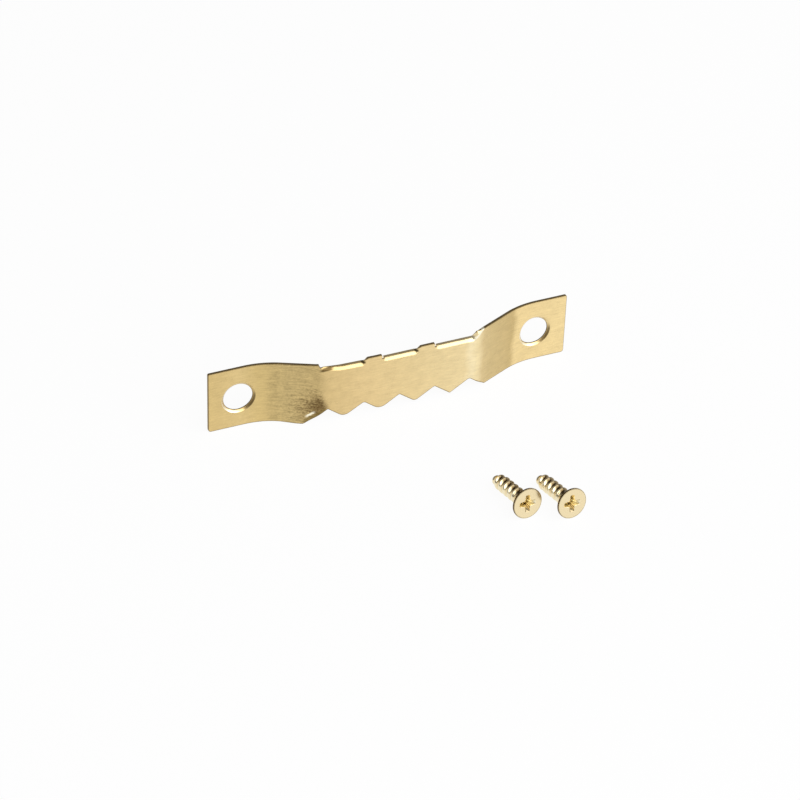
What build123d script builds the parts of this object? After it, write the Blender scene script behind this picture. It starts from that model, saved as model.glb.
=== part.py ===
from build123d import *
import os
from math import atan2, cos, degrees, radians, sin, tan

# A sawtooth hanger as it stands on a table, on its lower edge, with its two loose screws
# in front of it. Lengths are in millimetres. X runs along the strip, +Z is up, and -Y is
# the front, away from the frame that the hanger is screwed to. The origin is midway
# between the two screw holes, on the flat back of the end tabs.

# Sheet and outline of the strip
sheet = 0.5
strip_length = 60.4
strip_height = 11.0
upper_corner_round = 0.25
lower_corner_round = 0.45

# Screw holes in the end tabs, bevelled from the front, and their distances from the ends
left_margin = 4.95
right_margin = 5.45
hole_rise = 5.4
hole_bore = 4.8
hole_mouth = 5.6
bevel_angle = 100

# Sloping legs, which start beside the holes, and the raised deck that they carry. The deck
# sinks a little from its first ear to its left end
left_foot_gap = 3.9
right_foot_gap = 2.7
left_leg_run = 8.0
right_leg_run = 8.95
stand_off = 4.05
sag_depth = 0.35
foot_bend = 13.0
left_deck_bend = 3.0
right_deck_bend = 1.2
sag_bend = 30.0

# Saw notches along the lower edge of the deck
tooth_pitch = 5.95
tooth_depth = 2.05
tooth_lift = 0.25
tip_share = 0.45
valley_round = 0.5
valley_round_shares = (0.4, 1.0, 0.6, 0.6, 0.9)
tip_round = 1.6
tip_round_shares = (0.85, 1.0, 0.55, 0.15)

# Upper edge of the deck: two upright ears, with the edge turned back beside them
ear_width = 2.4
ear_spacing = 8.85
ear_shift = 0.375
ear_drop = 0.4
tear_width = 0.45
tear_drop = 1.25
lip_drop = 1.15
lip_bend = 0.25
lip_run = 0.2
lip_web = 0.3
lip_fold = 90
lead_drop = 0.55
lead_slope = 0.3
lead_share = 0.41
lead_fold = 50
ramp_length = 0.9
ramp_fold = 12

# Loose screws: countersunk heads with a cross recess
head_diameter = 4.95
head_rim = 0.3
neck_diameter = 2.0
thread_diameter = 2.5
thread_chamfer = 0.2
screw_length = 9.1
point_length = 1.7
point_diameter = 1.4
point_round = 0.2
recess_span = 2.8
recess_width = 0.8
recess_depth = 1.2
recess_floor_share = 0.45
recess_turn = -5

# Where the screws lie: the middle of the left head, and the step to the right one
screw_across = 7.65
screw_reach = 36.55
screw_step_across = 6.25
screw_step_reach = 2.35
screw_yaw = 7.0

# Cuts run this far past the faces that they open
overrun = 1.0

# Places along the strip
hole_spacing = strip_length - left_margin - right_margin
hole_left, hole_right = -hole_spacing / 2, hole_spacing / 2
left_end, right_end = hole_left - left_margin, hole_right + right_margin
foot_left, foot_right = hole_left + left_foot_gap, hole_right - right_foot_gap
deck_left, deck_right = foot_left + left_leg_run, foot_right - right_leg_run
strip_middle = (left_end + right_end) / 2
sag_end = ear_shift - ear_spacing / 2
sag_angle = degrees(atan2(sag_depth, sag_end - deck_left))
left_turn = degrees(atan2(stand_off - sag_depth, deck_left - foot_left)) - sag_angle
right_turn = degrees(atan2(stand_off, foot_right - deck_right))
flat_left = deck_left + left_deck_bend * tan(radians(left_turn / 2)) * cos(radians(sag_angle))
flat_right = deck_right - right_deck_bend * tan(radians(right_turn / 2))
ears = [
    (middle - ear_width / 2, middle + ear_width / 2)
    for middle in (ear_shift - ear_spacing / 2, ear_shift + ear_spacing / 2)
]
lead_end = flat_left + lead_share * (ears[0][0] - flat_left)

# Heights, from the middle of the holes
bottom = -hole_rise
top = bottom + strip_height
ear_top = top - ear_drop
lead_top = top - lead_drop
lip_top = top - lip_drop
tear_floor = top - tear_drop
lip_root = lip_top - sheet - lip_bend - lip_web
valley = bottom + tooth_lift + tooth_depth
through = stand_off + sheet + overrun


def lip_section(x, crest, fold):
    """Draw the deck's upper edge, cut across the strip and turned back by an angle."""
    lean = radians(sag_angle) if x < sag_end else 0
    skin = sheet / cos(lean)
    back = (sag_end - x) * tan(lean) - stand_off
    drop = (lip_bend + skin) * sin(radians(fold)) + lip_run * cos(radians(fold))
    ends = []
    with BuildSketch(Plane.YZ.offset(x)) as section:
        with BuildLine():
            for thickness in (0, skin):
                web = Line((back - thickness, lip_root), (back - thickness, crest - drop))
                curl = JernArc(web @ 1, web % 1, lip_bend + thickness, -fold)
                tail = Line(curl @ 1, curl @ 1 + (curl % 1) * lip_run)
                ends.append((web @ 0, tail @ 1))
            for behind, before in zip(*ends):
                Line(behind, before)
        make_face()
    return section.sketch


os.makedirs("parts", exist_ok=True)

# Hanger strip: one sheet, bent in plan and then cut from the front
with BuildPart() as hanger_strip:
    # Tabs, legs and deck follow one bent line along the back of the sheet
    with BuildSketch(Plane.XY.offset(bottom)):
        with BuildLine():
            FilletPolyline(
                (left_end, 0),
                (foot_left, 0),
                (deck_left, sag_depth - stand_off),
                (sag_end, -stand_off),
                (deck_right, -stand_off),
                (foot_right, 0),
                (right_end, 0),
                radius=[
                    foot_bend + sheet,
                    left_deck_bend,
                    sag_bend,
                    right_deck_bend,
                    foot_bend + sheet,
                ],
            )
            offset(amount=sheet, side=Side.RIGHT)
        make_face()
    extrude(amount=strip_height)
    corners = hanger_strip.edges().filter_by(Axis.Y)
    fillet(corners.group_by(Axis.Z)[-1], radius=upper_corner_round)
    corners = hanger_strip.edges().filter_by(Axis.Y)
    fillet(corners.group_by(Axis.Z)[0], radius=lower_corner_round)

    # Upper edge of the deck, cut low where it is turned back and higher at the ears
    with BuildSketch(Plane.XZ):
        with BuildLine():
            step_start, step_end = deck_left - lead_slope / 2, deck_left + lead_slope / 2
            outline = [(step_start, top + overrun), (step_start, top), (step_end, lead_top)]
            outline += [(flat_left, lead_top), (flat_left, lip_root)]
            for ear_left, ear_right in ears:
                outline += [(ear_left, lip_root), (ear_left, ear_top)]
                outline += [(ear_right, ear_top), (ear_right, tear_floor)]
                outline += [(ear_right + tear_width, tear_floor)]
                outline += [(ear_right + tear_width, lip_root)]
            outline += [(flat_right, lip_root), (flat_right, top + overrun)]
            Polyline(*outline, close=True)
        make_face()
    extrude(amount=through, mode=Mode.SUBTRACT)

    # Saw notches: long flanks lead up to each valley from the left, short ones from the right
    with BuildSketch(Plane.XZ):
        with BuildLine():
            notches = len(valley_round_shares)
            middle = (notches - 1) / 2
            valleys = [strip_middle + (i - middle) * tooth_pitch for i in range(notches)]
            points, rounds = [], []
            for i, x in enumerate(valleys):
                points.append((x, valley))
                rounds.append(valley_round * valley_round_shares[i])
                if i < notches - 1:
                    points.append((x + tip_share * tooth_pitch, valley - tooth_depth))
                    rounds.append(tip_round * tip_round_shares[i])
            fall = (valley - bottom + overrun) / tooth_depth * tooth_pitch
            start = (valleys[0] - (1 - tip_share) * fall, bottom - overrun)
            finish = (valleys[-1] + tip_share * fall, bottom - overrun)
            FilletPolyline(start, *points, finish, radius=rounds)
            Line(finish, start)
        make_face()
    extrude(amount=through, mode=Mode.SUBTRACT)

    # Turned edge, in three lengths that each rise again to an ear or to the right leg
    left_lip = [
        lip_section(flat_left, lead_top, lead_fold),
        lip_section(lead_end, lip_top, lip_fold),
        lip_section(ears[0][0] - ramp_length, lip_top, lip_fold),
        lip_section(ears[0][0], ear_top, ramp_fold),
    ]
    middle_lip = [
        lip_section(ears[0][1] + tear_width, lip_top, lip_fold),
        lip_section(ears[1][0] - ramp_length, lip_top, lip_fold),
        lip_section(ears[1][0], ear_top, ramp_fold),
    ]
    right_lip = [
        lip_section(ears[1][1] + tear_width, lip_top, lip_fold),
        lip_section(flat_right - ramp_length, lip_top, lip_fold),
        lip_section(flat_right, top, ramp_fold),
    ]
    for sections in (left_lip, middle_lip, right_lip):
        loft(sections, ruled=True)

    # Bevelled screw holes, opened from the front of the tabs, where the bevels run on outwards
    cutter_radius = hole_mouth / 2 + overrun * tan(radians(bevel_angle / 2))
    for x in (hole_left, hole_right):
        with Locations(Plane((x, -sheet - overrun, 0), z_dir=(0, -1, 0))):
            CounterSinkHole(hole_bore / 2, cutter_radius, counter_sink_angle=bevel_angle)
hanger_strip.part.label = "hanger_strip"
export_step(hanger_strip.part, "parts/hanger_strip.step")

# Each screw lies on the back of its head's rim and on the last full turn of its thread
contact_length = screw_length - point_length - head_rim
screw_tilt = degrees(atan2((head_diameter - thread_diameter) / 2, contact_length))
head_lift = head_diameter / 2 * cos(radians(screw_tilt)) + head_rim * sin(radians(screw_tilt))
sideways = Vector(cos(radians(screw_yaw)), sin(radians(screw_yaw)), 0)
facing = Vector(0, -cos(radians(screw_tilt)), sin(radians(screw_tilt))).rotate(Axis.Z, screw_yaw)

for name, step in (("left_screw", 0), ("right_screw", 1)):
    across = screw_across + step * screw_step_across
    reach = screw_reach + step * screw_step_reach
    spot = Vector(across, -reach, bottom + head_lift)
    with BuildPart() as screw:
        # Half section, turned about the screw's own axis
        with BuildSketch(Plane(spot, x_dir=sideways, z_dir=sideways.cross(facing))):
            cone_end = -head_rim - (head_diameter - neck_diameter) / 2
            thread_end = -screw_length + point_length
            with BuildLine():
                Polyline(
                    (0, 0),
                    (head_diameter / 2, 0),
                    (head_diameter / 2, -head_rim),
                    (neck_diameter / 2, cone_end),
                    (thread_diameter / 2, cone_end - thread_chamfer),
                    (thread_diameter / 2, thread_end),
                    (point_diameter / 2, point_round - screw_length),
                    (point_diameter / 2 - point_round, -screw_length),
                    (0, -screw_length),
                    close=True,
                )
            make_face()
        revolve(axis=Axis(spot, facing))

        # Cross recess: four arms that narrow towards its floor
        face = Plane(spot, x_dir=sideways, z_dir=facing).rotated((0, 0, recess_turn))
        for depth, share in ((0, 1), (recess_depth, recess_floor_share)):
            with BuildSketch(face.offset(-depth)):
                for turn in (0, 90):
                    SlotOverall(recess_span * share, recess_width * share, rotation=turn)
        loft(ruled=True, mode=Mode.SUBTRACT)
    screw.part.label = name
    export_step(screw.part, f"parts/{name}.step")
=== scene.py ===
"""Sawtooth hanger and its two loose screws: visible meshes, finishes and studio.

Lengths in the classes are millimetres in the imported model's frame: X along the strip, +Z up
and -Y to the front. Meshes are made in metres.
"""

import logging
import math
from dataclasses import dataclass
from enum import Enum

import bpy
import numpy as np
from mathutils import Matrix, Vector
from mathutils.geometry import delaunay_2d_cdt


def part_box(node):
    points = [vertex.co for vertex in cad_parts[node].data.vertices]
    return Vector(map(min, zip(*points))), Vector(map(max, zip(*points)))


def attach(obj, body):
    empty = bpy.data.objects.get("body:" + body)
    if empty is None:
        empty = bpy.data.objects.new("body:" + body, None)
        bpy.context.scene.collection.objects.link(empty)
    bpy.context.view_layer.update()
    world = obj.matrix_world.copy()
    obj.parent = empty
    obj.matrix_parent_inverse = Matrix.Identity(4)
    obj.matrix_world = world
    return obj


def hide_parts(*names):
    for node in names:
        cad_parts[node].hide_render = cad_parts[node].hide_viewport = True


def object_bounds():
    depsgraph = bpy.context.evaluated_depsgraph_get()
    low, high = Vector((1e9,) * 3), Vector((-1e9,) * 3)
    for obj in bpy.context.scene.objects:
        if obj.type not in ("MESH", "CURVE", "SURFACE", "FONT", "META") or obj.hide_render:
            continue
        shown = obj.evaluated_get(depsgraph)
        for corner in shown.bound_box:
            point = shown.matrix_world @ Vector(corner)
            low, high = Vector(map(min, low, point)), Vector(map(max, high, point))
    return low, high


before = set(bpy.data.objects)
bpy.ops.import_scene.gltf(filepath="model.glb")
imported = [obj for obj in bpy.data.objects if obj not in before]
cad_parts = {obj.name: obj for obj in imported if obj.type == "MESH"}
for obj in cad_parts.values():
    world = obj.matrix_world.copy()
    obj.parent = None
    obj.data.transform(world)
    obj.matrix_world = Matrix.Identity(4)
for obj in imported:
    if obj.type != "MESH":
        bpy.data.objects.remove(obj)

CAD_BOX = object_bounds()
MM = 0.001
TURN = 2 * math.pi
# What keeps a division from failing, and what a length may exceed its limit by
TINY = 1e-12
SLACK = 1e-6
# The turn between two points of an arc, and the turn below which a corner counts as straight
ARC_STEP = math.radians(15)
STRAIGHT = math.radians(2)
# A quarter round in three steps, as shares of its radius inwards and downwards
QUARTER_ROUND = ((0.62, 0.08), (0.29, 0.29), (0.08, 0.62))
# How near two outline points may be before the filling joins them
MERGE_GAP = 1e-7
# The vertex attribute for the darker sheared edges, for painted shade and for painted highlights
WEAR_AND_LIGHT = "worn"
LOG = logging.getLogger("sawtooth_hanger")

Colour = tuple[float, float, float]
Points = np.ndarray


def linear(code: str) -> Colour:
    """Turn a display colour into the values that a shader socket takes.

    Args:
        code: Six hexadecimal digits, red first.

    Returns:
        The linear red, green and blue.
    """
    shares = [int(code[i : i + 2], 16) / 255 for i in (0, 2, 4)]
    return tuple(s / 12.92 if s <= 0.04045 else ((s + 0.055) / 1.055) ** 2.4 for s in shares)


@dataclass(frozen=True)
class Stretch:
    """A stretch of values, with soft ends centred on its limits."""

    low: float
    high: float
    edge: float


@dataclass(frozen=True)
class Speckle:
    """A noise over a piece: its features per millimetre along each axis, and its detail."""

    scale: tuple[float, float, float]
    detail: float = 2.0


class Signal:
    """An output socket of a node tree, with arithmetic that adds the nodes it needs."""

    def __init__(self, graph: "Graph", socket: bpy.types.NodeSocket) -> None:
        """Wrap a socket.

        Args:
            graph: The node tree's own builder.
            socket: The output socket.
        """
        self.graph = graph
        self.socket = socket

    def output(self, name: str) -> "Signal":
        """Another output of the same node."""
        return Signal(self.graph, self.socket.node.outputs[name])

    def math(self, operation: str, *others: "Signal | float") -> "Signal":
        """Put this value and others through a Math node.

        Args:
            operation: The Math node's operation.
            others: The node's further values.

        Returns:
            The node's result.
        """
        values = dict(enumerate((self, *others)))
        return self.graph.node("ShaderNodeMath", {"operation": operation}, values)

    def __add__(self, other: "Signal | float") -> "Signal":
        """Add a value."""
        return self.math("ADD", other)

    __radd__ = __add__

    def __sub__(self, other: "Signal | float") -> "Signal":
        """Take a value away."""
        return self.math("SUBTRACT", other)

    def __rsub__(self, other: float) -> "Signal":
        """Take this away from a number."""
        return self.graph.node("ShaderNodeMath", {"operation": "SUBTRACT"}, {0: other, 1: self})

    def __mul__(self, other: "Signal | float") -> "Signal":
        """Multiply by a value."""
        return self.math("MULTIPLY", other)

    __rmul__ = __mul__

    def __truediv__(self, other: "Signal | float") -> "Signal":
        """Divide by a value."""
        return self.math("DIVIDE", other)

    def rise(self, low: float, high: float) -> "Signal":
        """Turn a value into a soft step.

        Args:
            low: Where the step is still 0.
            high: Where it reaches 1. It may be below low, for a falling step.

        Returns:
            A value from 0 to 1.
        """
        settings = {"interpolation_type": "SMOOTHSTEP"}
        ends = (low, high) if low < high else (high, low)
        values = {"Value": self, "From Min": ends[0], "From Max": ends[1]}
        step = self.graph.node("ShaderNodeMapRange", settings, values)
        return step if low < high else 1 - step

    def band(self, stretch: Stretch) -> "Signal":
        """Mark a stretch of values.

        Args:
            stretch: The values to mark.

        Returns:
            1 inside the stretch and 0 outside.
        """
        half = stretch.edge / 2
        begun = self.rise(stretch.low - half, stretch.low + half)
        return begun * self.rise(stretch.high + half, stretch.high - half)


class Graph:
    """The node tree of a material or a world."""

    def __init__(self, owner: bpy.types.Material | bpy.types.World) -> None:
        """Clear the owner's tree.

        Args:
            owner: The material or world that the tree belongs to.
        """
        owner.use_nodes = True
        self.tree = owner.node_tree
        self.tree.nodes.clear()

    def node(
        self,
        kind: str,
        settings: dict[str, object] | None = None,
        inputs: dict[str | int, object] | None = None,
        output: str | int = 0,
    ) -> Signal:
        """Add a node.

        Args:
            kind: The node's type.
            settings: Its properties, set first. A ramp's stops are pairs of place and colour.
            inputs: Its sockets' values or signals, by name or place.
            output: The output that is wanted.

        Returns:
            That output.
        """
        made = self.tree.nodes.new(kind)
        for name, value in (settings or {}).items():
            if name == "stops":
                ramp = made.color_ramp.elements
                while len(ramp) < len(value):
                    ramp.new(1.0)
                for stop, (place, colour) in zip(ramp, value):
                    stop.position, stop.color = place, (*colour, 1)
            else:
                setattr(made, name, value)
        for name, value in (inputs or {}).items():
            if isinstance(value, Signal):
                self.tree.links.new(value.socket, made.inputs[name])
            elif isinstance(value, tuple) and made.inputs[name].type == "RGBA":
                made.inputs[name].default_value = (*value, 1)
            else:
                made.inputs[name].default_value = value
        return Signal(self, made.outputs[output] if len(made.outputs) else None)

    def mix(self, share: Signal | float, first: object, second: object) -> Signal:
        """Mix two colours.

        Args:
            share: How much of the second colour shows.
            first: A colour or a signal.
            second: A colour or a signal.

        Returns:
            The mixed colour.
        """
        return self.node(
            "ShaderNodeMix", {"data_type": "RGBA"}, {0: share, 6: first, 7: second}, 2
        )

    def stretched(self, place: Signal, scale: tuple[float, float, float]) -> Signal:
        """Scale a place along each axis."""
        settings = {"operation": "MULTIPLY"}
        return self.node("ShaderNodeVectorMath", settings, {0: place, 1: scale})

    def noise(self, place: Signal, speckle: Speckle) -> Signal:
        """Sample a noise over a place.

        Args:
            place: The place in millimetres.
            speckle: The noise's features.

        Returns:
            A value about 0.
        """
        place = self.stretched(place, speckle.scale)
        inputs = {"Vector": place, "Scale": 1.0, "Detail": speckle.detail}
        return self.node("ShaderNodeTexNoise", None, inputs) - 0.5

    def place(self) -> Signal:
        """The place on the piece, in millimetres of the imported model's frame."""
        own = self.node("ShaderNodeTexCoord", output="Object")
        return self.stretched(own, (1 / MM, 1 / MM, 1 / MM))

    def worn(self) -> Signal:
        """How far the piece is darkened by sheared steel and painted shade, above 0, or lit by a
        painted highlight, below 0.
        """
        return self.node("ShaderNodeAttribute", {"attribute_name": WEAR_AND_LIGHT}, output="Fac")

    def surface(self, shader: Signal, output: str = "ShaderNodeOutputMaterial") -> None:
        """Send a shader to the tree's output."""
        self.node(output, None, {"Surface": shader})

    def metal(
        self, tone: Signal, rough: Signal, height: Signal, relief: tuple[float, float]
    ) -> None:
        """Finish the tree as metal.

        Args:
            tone: Its colour.
            rough: Its roughness.
            height: The height of its fine relief.
            relief: The strength of that relief, and its depth in millimetres.
        """
        strength, depth = relief
        values = {"Strength": strength, "Distance": depth * MM, "Height": height}
        bump = self.node("ShaderNodeBump", None, values)
        values = {"Base Color": tone, "Metallic": 1.0, "Roughness": rough, "Normal": bump}
        self.surface(self.node("ShaderNodeBsdfPrincipled", None, values))


class MeshDraft:
    """Vertices and faces of a piece while it is drawn up, in millimetres."""

    def __init__(self) -> None:
        """Start with nothing drawn."""
        self.points: list[Points] = []
        self.marks: list[Points] = []
        self.faces: list[tuple[int, ...]] = []
        self.count = 0

    def add(self, points: Points, mark: Points | float = 0.0) -> Points:
        """Add vertices.

        Args:
            points: Their places.
            mark: How far they are darkened by sheared steel and painted shade, above 0, or lit by a
            painted highlight, down to -1, all alike or one by one.

        Returns:
            Their numbers.
        """
        self.points.append(np.asarray(points, float))
        self.marks.append(np.broadcast_to(np.asarray(mark, float), (len(points),)))
        self.count += len(points)
        return np.arange(self.count - len(points), self.count)

    def bridge(self, outer: Points, inner: Points) -> None:
        """Join two closed rings of as many vertices with four-sided faces."""
        for a, b, c, d in zip(outer, inner, np.roll(inner, -1), np.roll(outer, -1)):
            self.faces.append((a, b, c, d))

    def fan(self, ring: Points, middle: int) -> None:
        """Close a ring with triangles about one vertex."""
        for a, b in zip(ring, np.roll(ring, -1)):
            self.faces.append((a, b, middle))

    def normals(self, points: Points) -> Points:
        """Find vertex normals that leave large flat faces flat.

        Args:
            points: All vertices.

        Returns:
            One direction for each vertex.
        """
        total = np.zeros_like(points)
        for face in self.faces:
            corners = points[list(face)]
            around = np.roll(corners, -1, axis=0)
            across = np.cross(corners, around).sum(axis=0)
            total[list(face)] += across * np.linalg.norm(across)
        return total / np.maximum(np.linalg.norm(total, axis=1, keepdims=True), TINY)

    def piece(self, name: str, placing: Matrix | None = None) -> bpy.types.Object:
        """Make the object.

        Args:
            name: The piece's name.
            placing: Where the draft's own axes lie in the frame, in millimetres.

        Returns:
            The object, smooth shaded, with its sheared edges, painted shade and painted highlights
            marked.
        """
        points = np.vstack(self.points)
        if placing is not None:
            turn = np.array(placing.to_3x3())
            points = points @ turn.T + np.array(placing.translation)
        mesh = bpy.data.meshes.new(name)
        mesh.from_pydata((points * MM).tolist(), [], [tuple(map(int, f)) for f in self.faces])
        mesh.shade_smooth()
        mesh.normals_split_custom_set_from_vertices(self.normals(points).tolist())
        marks = mesh.attributes.new(WEAR_AND_LIGHT, "FLOAT", "POINT")
        marks.data.foreach_set("value", np.concatenate(self.marks).astype(np.float32))
        made = bpy.data.objects.new(name, mesh)
        bpy.context.scene.collection.objects.link(made)
        return made


@dataclass(frozen=True)
class Corner:
    """A corner of a flat outline."""

    across: float
    up: float
    radius: float = 0.0


def rounded(corners: list[Corner]) -> Points:
    """Draw a closed outline with its corners rounded.

    Args:
        corners: The sharp corners in order.

    Returns:
        The outline's points.
    """
    places = np.array([(c.across, c.up) for c in corners])
    made: list[Points] = []
    for i, corner in enumerate(corners):
        here, before, after = places[i], places[i - 1], places[(i + 1) % len(corners)]
        back = (before - here) / np.linalg.norm(before - here)
        ahead = (after - here) / np.linalg.norm(after - here)
        turn = math.pi - math.acos(float(np.clip(back @ ahead, -1, 1)))
        if corner.radius <= 0 or turn < STRAIGHT:
            made.append(here[None])
            continue
        reach = corner.radius * math.tan(turn / 2)
        inward = (back + ahead) / np.linalg.norm(back + ahead)
        middle = here + inward * math.hypot(corner.radius, reach)
        start, finish = here + back * reach - middle, here + ahead * reach - middle
        parts = max(2, math.ceil(turn / ARC_STEP))
        shares = np.linspace(0, 1, parts + 1)[:, None]
        weights = np.sin((1 - shares) * turn), np.sin(shares * turn)
        made.append(middle + (weights[0] * start + weights[1] * finish) / math.sin(turn))
    return np.vstack(made)


def divided(outline: Points, spacing: float) -> Points:
    """Divide the long sides of a closed outline evenly.

    Args:
        outline: The outline's points.
        spacing: The longest side that stays whole.

    Returns:
        The points with more between them.
    """
    made = []
    for here, after in zip(outline, np.roll(outline, -1, axis=0)):
        parts = max(1, math.ceil(float(np.linalg.norm(after - here)) / spacing - SLACK))
        made.append(here + (after - here) * (np.arange(parts) / parts)[:, None])
    return np.vstack(made)


def outward(outline: Points) -> Points:
    """Find the directions that leave an outline drawn anticlockwise.

    Args:
        outline: The outline's points.

    Returns:
        A direction for each point.
    """
    sides = np.roll(outline, -1, axis=0) - outline
    sides /= np.linalg.norm(sides, axis=1, keepdims=True)
    along = sides + np.roll(sides, 1, axis=0)
    along /= np.linalg.norm(along, axis=1, keepdims=True)
    return np.stack([along[:, 1], -along[:, 0]], axis=1)


def enclosed(points: Points, outline: Points) -> Points:
    """Test which points lie within an outline.

    Args:
        points: The points to test.
        outline: The closed outline.

    Returns:
        True or False for each point.
    """
    inside = np.zeros(len(points), bool)
    for (ax, ay), (bx, by) in zip(outline, np.roll(outline, -1, axis=0)):
        crosses = (ay > points[:, 1]) != (by > points[:, 1])
        reach = ax + (points[:, 1] - ay) * (bx - ax) / ((by - ay) or TINY)
        inside ^= crosses & (points[:, 0] < reach)
    return inside


def filled(loops: list[Points], spread: Points) -> list[tuple[int, int, int]]:
    """Fill a flat outline with triangles.

    Args:
        loops: The outer outline, and then the outlines of the holes.
        spread: Further points inside.

    Returns:
        Triangles that number the loops' points first and the spread ones after.
    """
    points = np.vstack([*loops, spread]) if len(spread) else np.vstack(loops)
    edges, start = [], 0
    for loop in loops:
        numbers = np.arange(start, start + len(loop))
        edges += zip(numbers.tolist(), np.roll(numbers, -1).tolist())
        start += len(loop)
    found = delaunay_2d_cdt([Vector(p) for p in points], edges, [], 1, MERGE_GAP, True)
    places, triangles, origins = found[0], found[2], found[3]
    if len(places) != len(points):
        raise ValueError("an outline crosses itself")
    number = [ids[0] for ids in origins]
    middles = np.array([sum((places[i] for i in t), Vector((0, 0))) / 3 for t in triangles])
    keep = enclosed(middles, loops[0])
    for hole in loops[1:]:
        keep &= ~enclosed(middles, hole)
    return [tuple(number[i] for i in t) for t, kept in zip(triangles, keep) if kept]


def clear_of(points: Points, others: Points, distance: float, batch: int = 500) -> Points:
    """Keep the points that are well away from others.

    Args:
        points: The points to choose from.
        others: The points to stay away from.
        distance: The least distance.
        batch: How many points are compared at a time, to save memory.

    Returns:
        The points that stay.
    """
    keep = np.ones(len(points), bool)
    for first in range(0, len(points), batch):
        gaps = points[first : first + batch, None] - others[None]
        keep[first : first + batch] = (np.square(gaps).sum(-1) > distance**2).all(axis=1)
    return points[keep]


class BentLine:
    """A line in plan, made of straight runs joined by arcs."""

    def __init__(self, corners: list[tuple[float, float]], radii: list[float]) -> None:
        """Work out the runs and arcs.

        Args:
            corners: The line's sharp corners, with its two ends.
            radii: The radius at each corner between the ends.
        """
        places = np.array(corners)
        headings = [math.atan2(*(b - a)[::-1]) for a, b in zip(places, places[1:])]
        spans = [float(np.linalg.norm(b - a)) for a, b in zip(places, places[1:])]
        turns = np.diff(headings)
        reaches = [r * math.tan(abs(t) / 2) for r, t in zip(radii, turns)]
        self.starts, self.curves, self.origins, self.headings = [], [], [], []
        self.bends: list[tuple[float, float]] = []
        along, here = 0.0, places[0]
        for i, (heading, span) in enumerate(zip(headings, spans)):
            run = span - (reaches[i - 1] if i else 0) - (reaches[i] if i < len(turns) else 0)
            along, here = self._piece(along, here, heading, 0.0, run)
            if i < len(turns):
                arc = radii[i] * abs(turns[i])
                self.bends.append((along, along + arc))
                along, here = self._piece(along, here, heading, turns[i] / arc, arc)
        self.length = along

    def _piece(
        self, along: float, here: Points, heading: float, curve: float, length: float
    ) -> tuple[float, Points]:
        """Note a run or an arc.

        Args:
            along: The length before it.
            here: Where it starts.
            heading: Its direction there.
            curve: How fast it turns.
            length: Its own length.

        Returns:
            The length and the place where it ends.
        """
        self.starts.append(along)
        self.curves.append(curve)
        self.origins.append(here)
        self.headings.append(heading)
        places, _ = self.at(np.array([along + length]))
        return along + length, places[0]

    def at(self, along: Points) -> tuple[Points, Points]:
        """Find places on the line.

        Args:
            along: Lengths from its start.

        Returns:
            The places and the directions to the line's right.
        """
        pick = np.clip(np.searchsorted(self.starts, along, side="right") - 1, 0, None)
        curve = np.array(self.curves)[pick]
        heading = np.array(self.headings)[pick]
        run = along - np.array(self.starts)[pick]
        now = heading + curve * run
        safe = np.where(curve == 0, 1.0, curve)
        east = np.where(curve == 0, run * np.cos(heading), (np.sin(now) - np.sin(heading)) / safe)
        north = np.where(curve == 0, run * np.sin(heading), (np.cos(heading) - np.cos(now)) / safe)
        places = np.array(self.origins)[pick] + np.stack([east, north], axis=1)
        return places, np.stack([np.sin(now), -np.cos(now)], axis=1)


class PlatedFinish(Enum):
    """The finishes that the record names."""

    SHEET = "plated_sheet"
    SCREW = "plated_screw"


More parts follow.
